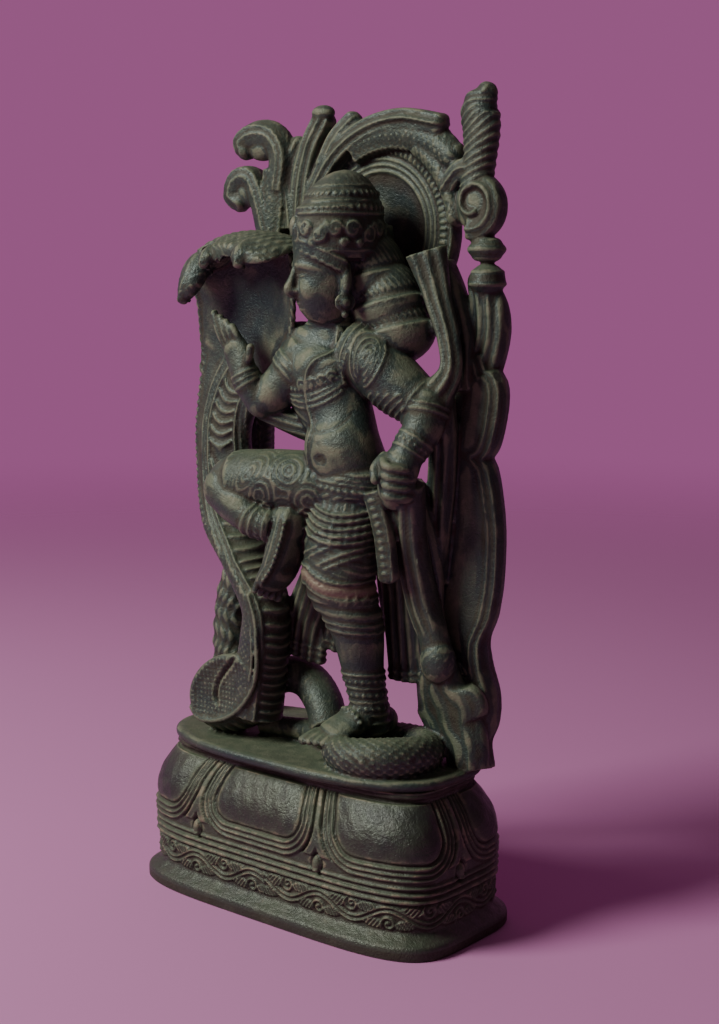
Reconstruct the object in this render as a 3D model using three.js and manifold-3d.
// A cast metal table statuette: a dancing deity with a raised leg beside a many-headed
// serpent, under an openwork arch, on an oval plate over a lotus-cushion plinth.
// Millimetres, +Z up, the front faces -Y, the origin is the middle of the underside.
import * as THREE from "three";
import { mergeVertices } from "three/addons/utils/BufferGeometryUtils.js";
import Module from "manifold-3d";

const wasm = await Module();
wasm.setup();

// Driving dimensions
const FOOT_HALF_WIDTH = 60;
const FOOT_HALF_DEPTH = 29.3;
const FOOT_CORNER = 4.4;
const PLINTH_HEIGHT = 46.6;
const LOBE_COUNT = 6;
const LOBE_HALF_WIDTH = 20;
const LOBE_BOTTOM = 22;
const LOBE_TOP = 43;
const LOBE_CORNER = 7;
const LOBE_EDGE = 3;
const LOBE_SWELL = 1.5;
const LOBE_SHIFT = -3.5;
const BULGE_LENGTH = 318;
const SEAM_GAP = 0.3;

const PLATE_HALF_WIDTH = 53.8;
const PLATE_HALF_DEPTH = 27.6;
const PLATE_CENTRE_Y = 1.3;
const PLATE_CORNER = 2.8;
const PLATE_TOP = 50.15;

const HEAD_TURN = THREE.MathUtils.degToRad(32);
const HEAD_CENTRE = [10.5, -3.8, 193.5];
const CROWN_CENTRE = [11, -3.4];
const NIMBUS_CENTRE = [12, 207];
const NIMBUS_RADIUS = 27.5;
const NIMBUS_FRONT = 13.5;
const NIMBUS_BACK = 18.8;
const NIMBUS_SIDES = 28;

const COIL_CENTRE = [-25, 66.2];
const COIL_REACH = [16.2, 10.4];
const COIL_TILT = THREE.MathUtils.degToRad(31);
const RING_CENTRE = [29.4, -6];
const RING_RADIUS = 12.8;
const RING_UNDERSIDE = 49.9;
const RING_THICKNESS = { back: 4.2, front: 1.3, right: 0.3 };
const BELLY_BARS = 20;
const BAR_SWELL = 0.1;
const SKIRT_FOLDS = 4;
const FOLD_SWELL = 0.035;
const VOLUTE_CENTRE = [49.2, 12.6, 214];

const SIDES = 10;
const SHORTEST_EDGE = 1.5;
const EDGE_PASSES = 4;
const KEPT_FACING = 0.75;

// Closed geometry from rings of equal count, with a fan at each end
function skin(rings) {
  const count = rings[0].length;
  const points = rings.flat();
  const faces = [];
  for (let ring = 0; ring + 1 < rings.length; ring++) {
    for (let i = 0; i < count; i++) {
      const here = ring * count + i;
      const next = ring * count + ((i + 1) % count);
      faces.push(here, next, next + count, here, next + count, here + count);
    }
  }
  for (const [ring, turned] of [[0, true], [rings.length - 1, false]]) {
    const middle = points.length;
    const centre = new THREE.Vector3();
    rings[ring].forEach((point) => centre.addScaledVector(point, 1 / count));
    points.push(centre);
    for (let i = 0; i < count; i++) {
      const here = ring * count + i;
      const next = ring * count + ((i + 1) % count);
      faces.push(middle, turned ? next : here, turned ? here : next);
    }
  }
  const geometry = new THREE.BufferGeometry().setFromPoints(points);
  geometry.setIndex(faces);
  return geometry;
}

function solidOf(geometry) {
  const bare = geometry.clone();
  bare.deleteAttribute("normal");
  bare.deleteAttribute("uv");
  const merged = mergeVertices(bare, 1e-4);
  const triVerts = new Uint32Array(merged.index.array);
  const vertProperties = merged.attributes.position.array;
  const made = new wasm.Manifold(new wasm.Mesh({ numProp: 3, vertProperties, triVerts }));
  if (made.volume() > 0) return made;
  for (let i = 0; i < triVerts.length; i += 3) {
    [triVerts[i + 1], triVerts[i + 2]] = [triVerts[i + 2], triVerts[i + 1]];
  }
  return new wasm.Manifold(new wasm.Mesh({ numProp: 3, vertProperties, triVerts }));
}

// The outer body of all the pieces joined, without the small pockets left between them
function fused(geometries) {
  const whole = geometries.map(solidOf).reduce((joined, piece) => joined.add(piece));
  return whole.decompose().reduce((best, body) => (body.volume() > best.volume() ? body : best));
}

function geometryOf(solid) {
  const mesh = solid.getMesh();
  const geometry = new THREE.BufferGeometry();
  geometry.setAttribute("position", new THREE.BufferAttribute(mesh.vertProperties, 3));
  geometry.setIndex(new THREE.BufferAttribute(mesh.triVerts, 1));
  geometry.computeVertexNormals();
  return geometry;
}

// Would moving these corners to a new place turn or flatten the face?
function spoils(face, moved, place, points) {
  const before = face.map((corner) => points[corner]);
  const after = face.map((corner) => (moved.includes(corner) ? place : points[corner]));
  const normalOf = ([a, b, c]) => b.clone().sub(a).cross(c.clone().sub(a));
  const old = normalOf(before);
  const now = normalOf(after);
  if (old.length() < 1e-3) return now.length() < 1e-3;
  return now.normalize().dot(old.normalize()) < KEPT_FACING;
}

// Draws together the ends of the short edges that joins leave, while the surface stays closed
function withoutShortEdges(geometry, shortest) {
  const position = geometry.attributes.position;
  const points = [];
  for (let i = 0; i < position.count; i++) {
    points.push(new THREE.Vector3().fromBufferAttribute(position, i));
  }
  const index = geometry.index.array;
  const faces = [];
  for (let i = 0; i < index.length; i += 3) faces.push([index[i], index[i + 1], index[i + 2]]);
  const around = points.map(() => new Set());
  faces.forEach((face, f) => face.forEach((corner) => around[corner].add(f)));
  const neighbours = (corner) => {
    const all = new Set();
    around[corner].forEach((f) => faces[f].forEach((other) => all.add(other)));
    all.delete(corner);
    return all;
  };
  const edges = [];
  faces.forEach(([a, b, c]) => edges.push([a, b], [b, c], [c, a]));
  const length = ([a, b]) => points[a].distanceTo(points[b]);
  const short = edges.filter((edge) => edge[0] < edge[1] && length(edge) < shortest);
  short.sort((one, other) => length(one) - length(other));
  for (const [kept, gone] of short) {
    if (!around[kept].size || !around[gone].size) continue;
    const near = neighbours(kept);
    if (!near.has(gone) || length([kept, gone]) > shortest) continue;
    const shared = [...neighbours(gone)].filter((corner) => near.has(corner));
    if (shared.length !== 2) continue;
    const place = points[kept].clone().lerp(points[gone], 0.5);
    const pair = [...around[kept]].filter((f) => around[gone].has(f));
    const rest = [...around[kept], ...around[gone]].filter((f) => !pair.includes(f));
    if (rest.some((f) => spoils(faces[f], [kept, gone], place, points))) continue;
    points[kept].copy(place);
    pair.forEach((f) => faces[f].forEach((corner) => around[corner].delete(f)));
    around[gone].forEach((f) => {
      faces[f] = faces[f].map((corner) => (corner === gone ? kept : corner));
      around[kept].add(f);
    });
    around[gone].clear();
  }
  const alive = faces.filter((face, f) => face.every((corner) => around[corner].has(f)));
  const tidy = new THREE.BufferGeometry().setFromPoints(points);
  tidy.setIndex(alive.flat());
  return mergeVertices(tidy.toNonIndexed(), 1e-5);
}

// A limb follows a smooth path through stations [x, y, z, halfWide, halfThick, turn, cup].
// The wide side of its oval section starts along X and is turned about Z, or with flat it
// lies in the XZ plane. The section is a polygon of the oval's own area. relief(along,
// around) scales it, cup bends its two wide edges forward and droop bends them down.
function limb(stations, options = {}) {
  const { steps = 2 * (stations.length - 1), sides = SIDES, relief, droop = 0 } = options;
  const { roundStart = false, roundEnd = false, flat = false } = options;
  const fill = Math.sqrt((2 * Math.PI) / (sides * Math.sin((2 * Math.PI) / sides)));
  const smooth = (pick) => new THREE.CatmullRomCurve3(stations.map(pick), false, "catmullrom");
  const centres = smooth(([x, y, z]) => new THREE.Vector3(x, y, z));
  const sizes = smooth(([, , , wide, thick, turn = 0]) => new THREE.Vector3(wide, thick, turn));
  const cups = smooth(([, , , , , , cup = 0]) => new THREE.Vector3(cup, 0, 0));
  const ringAt = (along, shrink, slide) => {
    const centre = centres.getPoint(along);
    const tangent = centres.getTangent(along);
    const size = sizes.getPoint(along);
    const turn = THREE.MathUtils.degToRad(size.z);
    const turned = new THREE.Vector3(Math.cos(turn), Math.sin(turn), 0);
    const wide = flat ? new THREE.Vector3(-tangent.z, 0, tangent.x) : turned;
    wide.addScaledVector(tangent, -wide.dot(tangent)).normalize();
    const cup = cups.getPoint(along).x;
    const thick = new THREE.Vector3().crossVectors(tangent, wide);
    centre.addScaledVector(tangent, slide * Math.min(size.x, size.y));
    const ring = [];
    for (let i = 0; i < sides; i++) {
      const around = (2 * Math.PI * i) / sides;
      const grow = fill * shrink * (relief ? relief(along, around) : 1);
      const point = centre.clone();
      point.addScaledVector(wide, grow * size.x * Math.cos(around));
      point.addScaledVector(thick, grow * size.y * Math.sin(around));
      point.y -= cup * Math.cos(around) ** 2;
      point.z -= droop * Math.cos(around) ** 2;
      ring.push(point);
    }
    return ring;
  };
  const rings = [];
  const cap = [[0.45, 0.85], [0.85, 0.5]];
  if (roundStart) cap.forEach(([shrink, slide]) => rings.push(ringAt(0, shrink, -slide)));
  for (let step = 0; step <= steps; step++) rings.push(ringAt(step / steps, 1, 0));
  if (roundEnd) {
    cap.toReversed().forEach(([shrink, slide]) => rings.push(ringAt(1, shrink, slide)));
  }
  return skin(rings);
}

// A lump is an ellipsoid, with its long axis turned about Z
function lump([x, y, z], [rx, ry, rz], turn = 0, [columns, rows] = [12, 7]) {
  const geometry = new THREE.SphereGeometry(1, columns, rows);
  geometry.rotateX(Math.PI / 2);
  geometry.scale(rx, ry, rz);
  geometry.rotateZ(turn);
  return geometry.translate(x, y, z);
}

// Points of a superellipse, evenly spaced along its length, from the middle of the front
function ovalOutline(halfWidth, halfDepth, corner, count) {
  const fine = [];
  const power = 2 / corner;
  for (let i = 0; i <= 720; i++) {
    const angle = (2 * Math.PI * i) / 720 - Math.PI / 2;
    const c = Math.cos(angle);
    const s = Math.sin(angle);
    const x = Math.sign(c) * Math.abs(c) ** power * halfWidth;
    fine.push(new THREE.Vector2(x, Math.sign(s) * Math.abs(s) ** power * halfDepth));
  }
  const lengths = [0];
  for (let i = 1; i < fine.length; i++) {
    lengths.push(lengths[i - 1] + fine[i].distanceTo(fine[i - 1]));
  }
  const total = lengths.at(-1);
  const even = [];
  let at = 0;
  for (let i = 0; i < count; i++) {
    const wanted = (total * i) / count;
    while (lengths[at + 1] < wanted) at++;
    const share = (wanted - lengths[at]) / (lengths[at + 1] - lengths[at]);
    even.push(fine[at].clone().lerp(fine[at + 1], share));
  }
  return even;
}

// Rings of one outline, shrunk by an inset at each height
function stack(levels, halfWidth, halfDepth, corner, count, centreY = 0, swell = () => 0) {
  const rings = levels.map(([z, inset]) => {
    const outline = ovalOutline(halfWidth - inset, halfDepth - inset, corner, count);
    return outline.map((point, i) => {
      const grown = point.clone().setLength(point.length() + swell(i / count, z));
      return new THREE.Vector3(grown.x, grown.y + centreY, z);
    });
  });
  return skin(rings);
}

// Height of the lotus cushions over the plinth's bulge
function lobeSwell(share, z) {
  if (z < LOBE_BOTTOM - 1 || z > LOBE_TOP) return 0;
  const pitch = BULGE_LENGTH / LOBE_COUNT;
  const along = share * BULGE_LENGTH - LOBE_SHIFT + BULGE_LENGTH;
  const fromMiddle = Math.abs(((along + pitch / 2) % pitch) - pitch / 2);
  const low = Math.max(0, LOBE_BOTTOM + LOBE_CORNER - z);
  const side = Math.max(0, fromMiddle - LOBE_HALF_WIDTH + LOBE_CORNER);
  const inside = LOBE_CORNER - Math.hypot(side, low);
  return LOBE_SWELL * THREE.MathUtils.clamp(inside / LOBE_EDGE, -0.5, 1);
}

function plinthGeometry() {
  const foot = [[0, 0], [3.9, 0], [4.4, 0.6], [7, 3.6]];
  const frieze = [[15.8, 3.5], [16.6, 2.7], [19, 2.7], [19.6, 3.4]];
  const bulge = [[22, 2.9], [25.5, 2.9], [29.5, 3.3], [33, 4.2], [36.5, 5.6], [40, 7.4]];
  const neck = [[43.2, 9.8], [43.4, 8.6], [PLINTH_HEIGHT, 8.9]];
  const levels = [...foot, ...frieze, ...bulge, ...neck];
  const columns = 60;
  return stack(levels, FOOT_HALF_WIDTH, FOOT_HALF_DEPTH, FOOT_CORNER, columns, 0, lobeSwell);
}

function plateGeometry() {
  const bottom = PLINTH_HEIGHT + SEAM_GAP;
  const levels = [[bottom, 1.1], [bottom + 0.9, 0.1], [PLATE_TOP - 0.7, 0], [PLATE_TOP, 0.7]];
  return stack(levels, PLATE_HALF_WIDTH, PLATE_HALF_DEPTH, PLATE_CORNER, 40, PLATE_CENTRE_Y);
}

// The standing leg, its foot, and the wrapped cloth with its hem
function standingLeg() {
  const leg = limb([
    [16.6, -3, 133, 12, 10],
    [15.8, -6.5, 120, 11.6, 10.4],
    [15.2, -8.5, 107, 11.4, 10],
    [16.2, -8.5, 101.5, 9.6, 9],
    [18.2, -8, 97, 8.2, 7.8],
    [20.4, -6.5, 89, 7.8, 7.6],
    [20.8, -4.8, 79, 6.5, 6.4],
    [21.8, -4.2, 72, 5.6, 5.6],
    [22.6, -3.6, 66, 5.6, 5.6],
    [22.8, -3, 58, 5.6, 5.6],
  ], { steps: 12, sides: 10 });
  const foot = limb([
    [23.6, 1.8, 60.8, 4.6, 4.4],
    [21.8, -4.6, 62.2, 5.4, 5],
    [19.4, -11, 60.6, 6, 3.6],
    [17.4, -16, 58.6, 6.4, 2.6],
    [16.6, -19, 57.4, 5.8, 1.8],
  ], { steps: 5, roundStart: true, roundEnd: true });
  const swags = (along) => 1 + FOLD_SWELL * Math.cos(2 * Math.PI * SKIRT_FOLDS * along);
  const skirt = limb([
    [16.4, -3.6, 129, 12.4, 10.6],
    [15.8, -6.5, 120, 12.2, 11],
    [15.3, -8.3, 110, 12, 10.8],
  ], { steps: 2 * SKIRT_FOLDS, sides: 10, relief: swags });
  const hem = limb([
    [15.1, -8.5, 109.4, 11, 10],
    [15.2, -8.5, 108, 12.6, 11.4],
    [15.6, -8.5, 103, 11.8, 10.8],
    [15.8, -8.5, 101.6, 9.8, 9],
  ], { steps: 3, sides: 10 });
  return [leg, foot, skirt, hem];
}

// The raised leg, bent out to the viewer's left, with its foot hanging by the other knee
function raisedLeg() {
  const thigh = limb([
    [13, -4, 131, 10.5, 9.8],
    [2, -9, 132, 10, 9.4],
    [-11, -13, 132.6, 9, 8.6],
    [-21, -14.4, 131.4, 8.6, 8],
    [-26, -15, 128.6, 6.8, 6.4],
  ], { steps: 5, sides: 10, roundEnd: true });
  const shin = limb([
    [-23.6, -16, 129.4, 7.8, 7.2],
    [-16, -18, 124.8, 6.8, 6.4],
    [-9.6, -18.6, 121, 5.2, 5.2],
    [-3, -17.2, 119.4, 4.6, 4.8],
  ], { steps: 4, roundStart: true });
  const foot = limb([
    [0.8, -13.8, 121.4, 5.6, 6],
    [0, -14.8, 114.8, 5.4, 6.4],
    [-2, -16.2, 107, 4.2, 6.4],
    [-4.6, -17.5, 101.4, 2.6, 5.8],
  ], { steps: 4, roundStart: true, roundEnd: true });
  return [thigh, shin, foot];
}

// Hips, belly, chest, shoulders and neck in one body, with the girdle around the hips
function torso() {
  const body = limb([
    [16.4, -2, 127, 12.6, 9.8],
    [16, -4.4, 136, 13, 10],
    [15, -6.8, 143.4, 12.4, 10.2],
    [12.8, -5.4, 151, 11.2, 8.6],
    [8.6, -4.6, 159, 13.6, 9],
    [6, -4, 167, 16.4, 10],
    [6.6, -3.2, 173, 16, 8],
    [8, -3.2, 177.6, 9.6, 6.6],
    [8.6, -3.6, 184, 6, 6],
  ], { steps: 11, sides: 10 });
  const girdle = limb([
    [16.6, -3.4, 129.6, 13.4, 10.8],
    [16.4, -3.8, 132, 15, 12.2],
    [16.2, -4.4, 136.4, 14.6, 11.8],
    [16, -4.8, 138.4, 12.8, 10.4],
  ], { steps: 3, sides: 10 });
  return [body, girdle];
}

function arms() {
  const leftUpper = limb([
    [15, -2.8, 172, 9, 7.6],
    [22, -3, 169.6, 9.4, 8.4],
    [32, -1.6, 162, 8.8, 8],
    [41, 0.4, 156, 6.8, 6.4],
  ], { steps: 4, roundEnd: true });
  const leftFore = limb([
    [41.6, -0.5, 156, 6.2, 6.2],
    [41.6, -3.4, 149.5, 6, 5.6],
    [40, -6.6, 144.6, 5.2, 5],
    [38.6, -9.2, 139.6, 6.2, 5],
    [37.4, -10.2, 133.6, 6.6, 5],
    [35.6, -9, 129.5, 5, 4],
  ], { steps: 6, roundEnd: true });
  const rightUpper = limb([
    [1, -5, 170.6, 8.6, 7.6],
    [-3.4, -8, 164.8, 7.4, 6.6],
    [-8.4, -10.6, 159, 6.4, 6],
    [-12.2, -12.2, 156.2, 5.4, 5.2],
  ], { steps: 3, roundEnd: true });
  const rightFore = limb([
    [-12.6, -12.4, 156.4, 5, 5],
    [-15.4, -14.2, 161, 4.6, 4.6],
    [-17.2, -15, 165, 4.4, 3.6],
    [-19.4, -15.4, 170.4, 4.9, 3],
    [-22.6, -15.6, 176.4, 4.4, 2.2],
    [-25, -15.6, 180.2, 3, 1.6],
  ], { steps: 6, sides: 8, roundEnd: true });
  const armScarf = limb([
    [-12.4, -11, 153.4, 3.6, 3],
    [-5, -8.5, 150.4, 3.8, 2.8],
    [3, -6, 148.4, 4.4, 2.8],
  ], { steps: 2, sides: 8, flat: true, roundStart: true });
  return [leftUpper, leftFore, rightUpper, rightFore, armScarf];
}

// A point given along the face's own forward and sideways directions
function fromHead(forward, side, z) {
  const x = HEAD_CENTRE[0] - Math.sin(HEAD_TURN) * forward + Math.cos(HEAD_TURN) * side;
  const y = HEAD_CENTRE[1] - Math.cos(HEAD_TURN) * forward - Math.sin(HEAD_TURN) * side;
  return [x, y, z];
}

function head() {
  const turn = -THREE.MathUtils.radToDeg(HEAD_TURN);
  const skull = limb([
    [...fromHead(6.2, 0, 179.6), 3.6, 3.4, turn],
    [...fromHead(5.2, 0, 182.4), 6.4, 6.6, turn],
    [...fromHead(3.4, 0, 188), 8.8, 9.6, turn],
    [...fromHead(2, 0, 194), 9.8, 11.2, turn],
    [...fromHead(1.4, 0, 203), 10, 11.6, turn],
  ], { steps: 6 });
  const nose = limb([
    [...fromHead(12.4, 0, 197), 1.4, 1.4],
    [...fromHead(14, 0, 191.6), 1.8, 2],
    [...fromHead(14.6, 0, 188.4), 2.4, 1.8],
  ], { steps: 2, sides: 6, roundEnd: true });
  const ears = [-1, 1].map((side) => limb([
    [...fromHead(-1.6, side * 9.8, 197), 2, 2.6, turn + 90],
    [...fromHead(-1.6, side * 10.6, 190.5), 2.8, 3.2, turn + 90],
    [...fromHead(-1, side * 10.4, 182), 2.6, 3, turn + 90],
  ], { steps: 2, sides: 8, roundEnd: true }));
  return [skull, nose, ...ears];
}

// The tall crown: a band over the brow, beaded steps and a dome
function crown() {
  const level = (z, radius, back = 0) => {
    const [x, y] = CROWN_CENTRE;
    const turn = -THREE.MathUtils.radToDeg(HEAD_TURN);
    return [x + 0.5 * back, y + 0.8 * back, z, radius * 0.97, radius * 1.03, turn];
  };
  const levels = [
    level(198.6, 11.6),
    level(201, 12.4),
    level(203.4, 12.9),
    level(208.6, 12.8),
    level(213.4, 11.7),
    level(216.4, 10.5, -0.4),
    level(219, 8.9, -1.2),
    level(221.2, 6.6, -2),
    level(223, 2.4, -2.7),
  ];
  const boss = lump(fromHead(12.6, 0, 207.6), [2.4, 2, 3.4], -HEAD_TURN, [8, 5]);
  return [limb(levels, { steps: 10, sides: 12 }), boss];
}

// Hair gathered in three rolled tiers that fall on the shoulder
function hair() {
  const tiers = [
    [[19, 3, 197], [10, 9.4, 6.8]],
    [[24, 3.4, 188.6], [11.4, 9.6, 5.6]],
    [[25.6, 3.6, 180], [12.6, 9.4, 5.6]],
  ];
  const rolls = tiers.map(([centre, radii]) => lump(centre, radii, 0, [12, 6]));
  const nape = limb([
    [13, 5, 208, 9.5, 7],
    [13, 6, 195, 11, 6.5],
    [13, 6, 184, 12, 6],
    [14, 4, 174, 10, 5],
  ], { steps: 4 });
  const tip = limb([
    [29, 4, 180.4, 7, 4.6],
    [34.6, 5, 179.4, 4.6, 3.4],
    [39.6, 5.6, 179.2, 1.4, 1.2],
  ], { steps: 2, sides: 8 });
  return [...rolls, nape, tip];
}

// Pleated cloth: the fall between the legs, the drape behind, and the scarf's flared end
function pleats(folds, depth) {
  return (along, around) => 1 + depth * (0.4 + 0.6 * along) * Math.cos(folds * around);
}

function cloths() {
  const frontFall = limb([
    [6, -5, 116, 5, 3.4],
    [1, -3, 101, 6, 3.2],
    [-4.5, -1.6, 88, 7.6, 3],
    [-7, -1, 76.6, 8.8, 2.6],
  ], { steps: 4, sides: 12, relief: pleats(6, 0.09) });
  const innerFall = limb([
    [12, 0, 112, 6, 3],
    [6.6, 1.4, 97, 7, 3],
    [2.6, 2, 80, 7.4, 2.6],
  ], { steps: 3, sides: 10, relief: pleats(5, 0.06) });
  const rearDrape = limb([
    [28, 1, 133, 10, 7],
    [30, 5, 112, 12.2, 5.4],
    [31.2, 6.2, 90, 10.6, 4.6],
    [32.4, 6.6, 73.4, 9.4, 4],
  ], { steps: 3, sides: 12, relief: pleats(6, 0.06) });
  const scarf = limb([
    [37.4, 3.6, 200.6, 6.4, 2.2, 30],
    [39.6, 4, 193.5, 5.2, 2.4, 30],
    [41.8, 4, 186.6, 4.2, 2.8, 30],
    [46, 3.4, 175.6, 3.3, 3, 30],
    [47.4, 2.6, 167, 3.5, 3.2, 30],
    [44, 0.8, 160, 5.4, 4.4, 30],
    [42.4, 0, 155.6, 5.4, 4.8, 30],
  ], { steps: 8, sides: 10, relief: pleats(5, 0.06) });
  const scarfEnd = limb([
    [43.4, 2.6, 158, 4.6, 4.2],
    [42.8, 5.4, 146, 4.4, 3.8],
    [41.2, 7, 133, 4.6, 3.6],
    [39.8, 7.4, 118, 4.2, 3.4],
    [38.6, 7.4, 104, 3.4, 3],
  ], { steps: 6, sides: 8 });
  const waistFall = limb([
    [29.4, -9.8, 132, 2.8, 2.4],
    [32.2, -8.8, 120, 2.8, 2],
    [33.4, -7.8, 107.4, 3, 1.8],
  ], { steps: 2, sides: 6, roundEnd: true });
  return [frontFall, innerFall, rearDrape, scarf, scarfEnd, waistFall];
}

// A solid with its axis along Y, from rings of [y, scale, lift] and reaches along X and Z
function drum([x, z], [reachX, reachZ], levels, sides, tilt = 0) {
  return skin(levels.map(([y, scale, lift = 0]) => {
    const ring = [];
    for (let i = 0; i < sides; i++) {
      const angle = (2 * Math.PI * i) / sides;
      const point = new THREE.Vector2(reachX * Math.cos(angle), reachZ * Math.sin(angle));
      point.multiplyScalar(scale).rotateAround(new THREE.Vector2(), tilt);
      ring.push(new THREE.Vector3(x + point.x, y, z + point.y + lift));
    }
    return ring;
  }));
}

// The serpent: a coil on the plate, a flat body that rises and twists, and its hood
function serpentCoil() {
  const levels = [
    [-17.4, 0.5],
    [-19, 0.84],
    [-18, 1],
    [-13, 1.06, -2.4],
    [-7, 1.05, -3],
    [-5, 0.85, -3],
  ];
  return drum(COIL_CENTRE, COIL_REACH, levels, 16, COIL_TILT);
}

// Bars across the belly, on the side that faces right below and forward above
function bellyBars(along, around) {
  const belly = Math.max(0, -Math.sin(around)) ** 2;
  return 1 + BAR_SWELL * belly * Math.cos(2 * Math.PI * BELLY_BARS * along);
}

function serpentBody() {
  return limb([
    [-16.6, -11, 58, 7.4, 7.4, 90],
    [-14.6, -11, 74, 7.6, 7.6, 90],
    [-13.2, -11, 83, 7.8, 7, 90],
    [-13.4, -10.6, 93, 7.8, 6, 84],
    [-21.6, -8.6, 106, 8.6, 5.3, 58],
    [-31.5, -5.4, 119, 10, 5, 30],
    [-36.6, -3.4, 133, 10.6, 5, 8],
    [-37.6, -3, 145, 10.6, 4.8, 3, 0.4],
    [-34.8, -2.4, 156, 12.4, 4.6, 0, 1.6],
    [-29, -2, 166.5, 17, 4.2, 0, 3],
    [-23.4, -1.8, 181, 20, 3.8, 0, 6.5],
    [-21.4, -2.2, 192, 20.6, 3.8, 0, 8.5],
    [-20.8, -3.4, 200.6, 19.4, 3.6, 0, 7.5],
  ], { steps: BELLY_BARS * 2, sides: 12, relief: bellyBars });
}

// The heads reach forward as one canopy over the hollow hood, with three snouts at its edge
function hoodHeads() {
  const canopy = limb([
    [-22, 2, 202, 18.4, 2.8],
    [-20.4, -5, 204, 18.8, 2.8],
    [-18.6, -12, 203.4, 17.6, 2.5],
    [-19.4, -17.6, 201.2, 14.6, 2.2],
  ], { steps: 4, sides: 12, droop: 3, roundEnd: true });
  const snouts = [
    [[-33, -4, 199.6, 5, 2.8], [-36.4, -12.6, 197.6, 5, 3.2], [-37.4, -17, 191.6, 4.2, 3],
      [-40, -18, 186.4, 1.8, 1.6]],
    [[-27.6, -12, 201.6, 3.6, 2.4], [-29, -17.6, 199.4, 3, 2.2], [-29.4, -19.4, 197, 1.7, 1.4]],
    [[-14.6, -12, 203, 3.8, 2.4], [-13.8, -18.8, 200.4, 3.2, 2.2], [-13.4, -20.8, 197, 1.8, 1.4]],
  ];
  return [canopy, ...snouts.map((stations) => limb(stations, { sides: 8, roundEnd: true }))];
}

// The tail: an arch behind, a ring on the plate under the foot, and the end up to the hand
function serpentTail() {
  const arch = limb([
    [-24, -4, 63, 5.6, 6],
    [-15, -0.6, 69, 5.7, 6],
    [-5.6, 0.4, 68.6, 5.8, 6],
    [2.6, -1.8, 63.6, 5.8, 6],
    [7.6, -4.6, 56.6, 5.8, 5.6],
  ], { steps: 7, sides: 8, flat: true });
  const lying = limb([
    [-20, -5, 53, 3, 3],
    [-10, -3.4, 53.2, 3.4, 3.2],
    [0, -3, 53.6, 3.8, 3.6],
    [9, -7, 54.4, 4.2, 4],
  ], { steps: 3, sides: 8 });
  const stations = [];
  for (let turn = -200; turn <= 130; turn += 30) {
    const angle = THREE.MathUtils.degToRad(turn);
    const [x, y] = RING_CENTRE;
    const front = Math.exp(-(((turn + 45) / 70) ** 2));
    const right = Math.exp(-(((turn - 60) / 60) ** 2));
    const size = RING_THICKNESS.back + RING_THICKNESS.front * front + RING_THICKNESS.right * right;
    stations.push([
      x + RING_RADIUS * 1.06 * Math.cos(angle),
      y + RING_RADIUS * Math.sin(angle),
      RING_UNDERSIDE + size,
      1.04 * size,
      size,
      turn,
    ]);
  }
  const ring = limb(stations, { steps: 12, sides: 8, roundEnd: true });
  const rising = limb([
    [40.4, -8, 135, 5, 4],
    [37.4, -2.6, 117, 5, 4],
    [38.6, 1, 100, 5, 4],
    [41.8, 2.6, 89, 4.8, 4],
    [43.6, 3.4, 80, 5.4, 4.6],
  ], { steps: 6, sides: 8, roundEnd: true });
  const knot = lump([43.8, 2.2, 82], [5.8, 5, 7.2], 0, [10, 7]);
  const flare = limb([
    [43.4, 4.6, 80, 5, 4.4],
    [42.8, 6, 74, 9.4, 4.6],
    [44.8, 7.4, 68, 13, 4.6],
    [46.6, 8, 62, 11, 4.6],
    [49.8, 8, 56.6, 8, 4.8],
    [51, 8, 49.6, 6.8, 5],
  ], { steps: 7, sides: 8 });
  return [arch, lying, ring, rising, knot, flare];
}

// The arch: a solid disc behind the head, ridged flames over it, and an openwork leg each side
function nimbus() {
  const rings = [
    [NIMBUS_FRONT, 21.6],
    [NIMBUS_FRONT - 1.4, 23],
    [NIMBUS_FRONT - 1.4, 26.4],
    [NIMBUS_FRONT, NIMBUS_RADIUS],
    [NIMBUS_BACK, NIMBUS_RADIUS],
  ];
  return drum(NIMBUS_CENTRE, [1, 1], rings, NIMBUS_SIDES);
}

// Stations of a flame that sweeps around the disc while its radius grows, faster if late
function flame(from, to, near, far, wide, depth, count = 5, late = 1) {
  const [x, z] = NIMBUS_CENTRE;
  const stations = [];
  for (let i = 0; i < count; i++) {
    const share = i / (count - 1);
    const angle = THREE.MathUtils.degToRad(from + (to - from) * share);
    const radius = near + (far - near) * share ** late;
    const taper = 1 - 0.3 * share ** 2;
    const [dx, dz] = [radius * Math.cos(angle), radius * Math.sin(angle)];
    stations.push([x + dx, depth, z + dz, wide * taper, 3.4]);
  }
  return stations;
}

function flames() {
  const bands = [
    flame(176, 100, 27, 29.4, 3.8, 14),
    flame(160, 53, 26.6, 37.6, 4.2, 13.2, 7, 2.2),
    flame(112, 37, 26.4, 34, 5.4, 14, 6, 1.3),
    flame(58, 6, 28.4, 28.6, 3.4, 14.4, 4),
  ];
  const upright = [
    [[-21, 13, 208, 4.4, 3.4], [-22, 13, 220, 4.2, 3.4], [-21, 13, 229, 3.6, 3.2],
      [-19.4, 13, 233.6, 2.6, 2.6]],
    [[-17, 13.2, 196, 5, 3.6], [-18, 13.2, 210, 5, 3.6], [-17, 13.2, 222, 5, 3.6],
      [-13.6, 13.2, 233, 4.6, 3.4], [-10, 13.2, 240.4, 3.8, 2.8]],
    [[-8, 13.5, 226, 5, 3.4], [-3.4, 13.5, 234, 4.2, 3.2], [2.4, 13.5, 239.4, 3.2, 2.6]],
  ];
  return [...bands, ...upright].map((stations) => {
    return limb(stations, { steps: stations.length, sides: 6, flat: true, roundEnd: true });
  });
}

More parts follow.
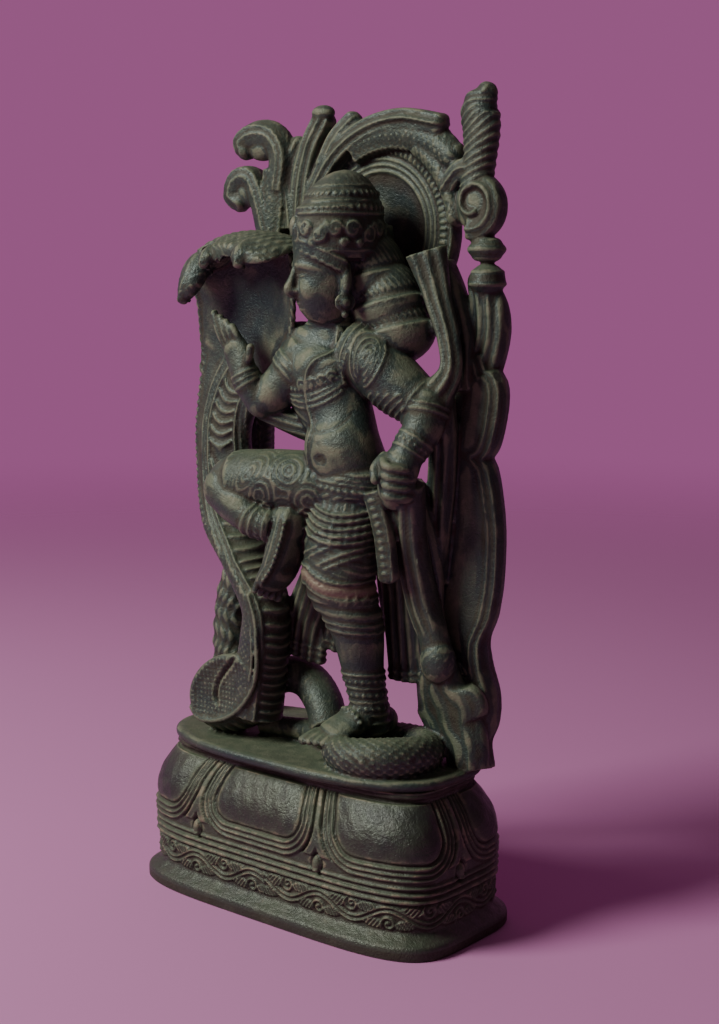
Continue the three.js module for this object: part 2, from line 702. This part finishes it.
function leftLeg() {
  const pillar = limb([
    [-45, 9, 49.4, 6.6, 5.6],
    [-47, 9, 62, 6.4, 5.4],
    [-47.4, 9, 75, 6.2, 5],
    [-46.8, 10, 88, 6.2, 5],
    [-43.4, 11.6, 103, 5.8, 4.6],
    [-39.6, 13, 125, 5.4, 4.4],
    [-38.2, 13, 150, 5.5, 4.4],
    [-33.6, 13, 184, 5.4, 4.4],
    [-29, 12.6, 208, 5.2, 4.2],
    [-26.4, 12, 226, 5.2, 4],
  ], { steps: 11, sides: 6 });
  const curl = { steps: 8, sides: 6, flat: true, roundEnd: true };
  const topCurl = limb([
    [-26.6, 12, 220, 5, 4],
    [-25, 11.8, 230, 5, 4],
    [-28.4, 11.4, 235.6, 5, 3.8],
    [-34.6, 10.8, 236.8, 4.6, 3.6],
    [-39.4, 10.2, 234.8, 3.6, 3.2],
  ], curl);
  const topEye = lump([-32.6, 11, 232.8], [6.4, 3.2, 3.8], 0, [8, 5]);
  const sideCurl = limb([
    [-31, 12, 206, 4.4, 3.8],
    [-34, 11.6, 217, 4, 3.8],
    [-37.6, 11.2, 223.4, 3.8, 3.6],
    [-42.4, 10.8, 223.2, 3.6, 3.4],
    [-44.6, 10.6, 219, 3.2, 3.2],
  ], curl);
  const sideEye = lump([-39.6, 11, 219.6], [4.4, 3, 4.8], 0, [8, 5]);
  return [pillar, topCurl, topEye, sideCurl, sideEye];
}

function rightLeg() {
  const panel = limb([
    [50.6, 11, 49.4, 6, 5.6],
    [50.4, 12, 57, 4.4, 5],
    [52.6, 12.6, 64, 4.6, 4.8],
    [53, 13, 71, 4, 4.6],
    [49.6, 13.4, 79, 4.6, 4.6],
    [46.4, 13.4, 86, 7.6, 4.6],
    [45.2, 13.4, 93, 11, 4.6],
    [45.4, 13.4, 100, 12.2, 4.6],
    [46.2, 13.4, 107, 12.4, 4.6],
    [46.8, 13.4, 118, 12.2, 4.6],
    [47.2, 13.3, 126, 11.2, 4.6],
    [46.8, 13.2, 136, 9.6, 4.6],
    [46, 13, 142.5, 7.2, 4.4],
    [48.6, 13, 148, 8.8, 4.6],
    [50.2, 13, 160, 9.4, 4.6],
    [49, 13, 163, 7.4, 4.6],
    [47, 13, 170, 6, 4],
  ], { steps: 18, sides: 8 });
  const leaf = limb([
    [46.6, 14, 158, 4.6, 3.8],
    [49.2, 14.4, 168, 7.2, 4.2],
    [51.6, 14.4, 178, 7.6, 4.2],
    [51.2, 14.2, 187, 5.8, 4.2],
    [50, 14, 192, 4, 4],
  ], { steps: 5, sides: 6, roundEnd: true });
  const inner = limb([
    [37.6, 11, 197, 3.4, 3.2],
    [41.6, 11, 188, 4.4, 3.4],
    [45.4, 11, 176, 4.8, 3.4],
    [46.4, 11, 161, 4.6, 3.4],
  ], { steps: 4, sides: 6 });
  const ball = lump([52.4, 13, 192.4], [5.2, 5, 4.8], 0, [8, 6]);
  const lobe = lump([52, 13, 201], [5.4, 4.6, 3.6], 0, [8, 5]);
  const stations = [];
  const [x, y, z] = VOLUTE_CENTRE;
  for (let turn = -110; turn <= 170; turn += 40) {
    const angle = THREE.MathUtils.degToRad(turn);
    const shrink = 1 - (turn + 110) / 620;
    stations.push([
      x + 7.2 * shrink * Math.cos(angle),
      y,
      z + 7.6 * shrink * Math.sin(angle),
      3.4 * shrink,
      3.6,
    ]);
  }
  const volute = limb(stations, { steps: 9, sides: 6, flat: true, roundEnd: true });
  const eye = lump([x, y + 1, z], [8, 4, 8.4], 0, [10, 6]);
  const hook = limb([
    [38, 13.4, 219, 2.6, 3],
    [43, 13, 223.4, 3, 3.2],
    [49, 13, 224, 3, 3.2],
  ], { steps: 3, sides: 6, flat: true, roundStart: true });
  const finial = limb([
    [47.6, 13.4, 218, 4.6, 4],
    [49, 13.4, 226, 4.6, 4],
    [49.6, 13.2, 234, 5.6, 3.8],
    [49.4, 13, 240.4, 5.8, 3.6],
    [52, 12.8, 244.8, 2.8, 2.6],
  ], { steps: 6, sides: 6, roundEnd: true });
  return [panel, leaf, inner, ball, lobe, volute, eye, hook, finial];
}

const bronze = new THREE.MeshStandardMaterial({ color: 0x4b4a40, roughness: 0.5, metalness: 0.75 });
const wornBronze = new THREE.MeshStandardMaterial({ color: 0x54503f, roughness: 0.45, metalness: 0.8 });

function named(name, geometry, material) {
  const mesh = new THREE.Mesh(geometry, material);
  mesh.name = name;
  return mesh;
}

const figure = fused([
  plateGeometry(),
  ...standingLeg(),
  ...raisedLeg(),
  ...torso(),
  ...arms(),
  ...head(),
  ...crown(),
  ...hair(),
  ...cloths(),
  serpentCoil(),
  serpentBody(),
  ...hoodHeads(),
  ...serpentTail(),
  nimbus(),
  ...flames(),
  ...leftLeg(),
  ...rightLeg(),
]);

let figureGeometry = geometryOf(figure);
for (let pass = 0; pass < EDGE_PASSES; pass++) {
  figureGeometry = withoutShortEdges(figureGeometry, SHORTEST_EDGE);
}

const group = new THREE.Group();
group.add(named("lotus_plinth", plinthGeometry(), wornBronze));
group.add(named("deity_serpent_and_arch", figureGeometry, bronze));

export default group;
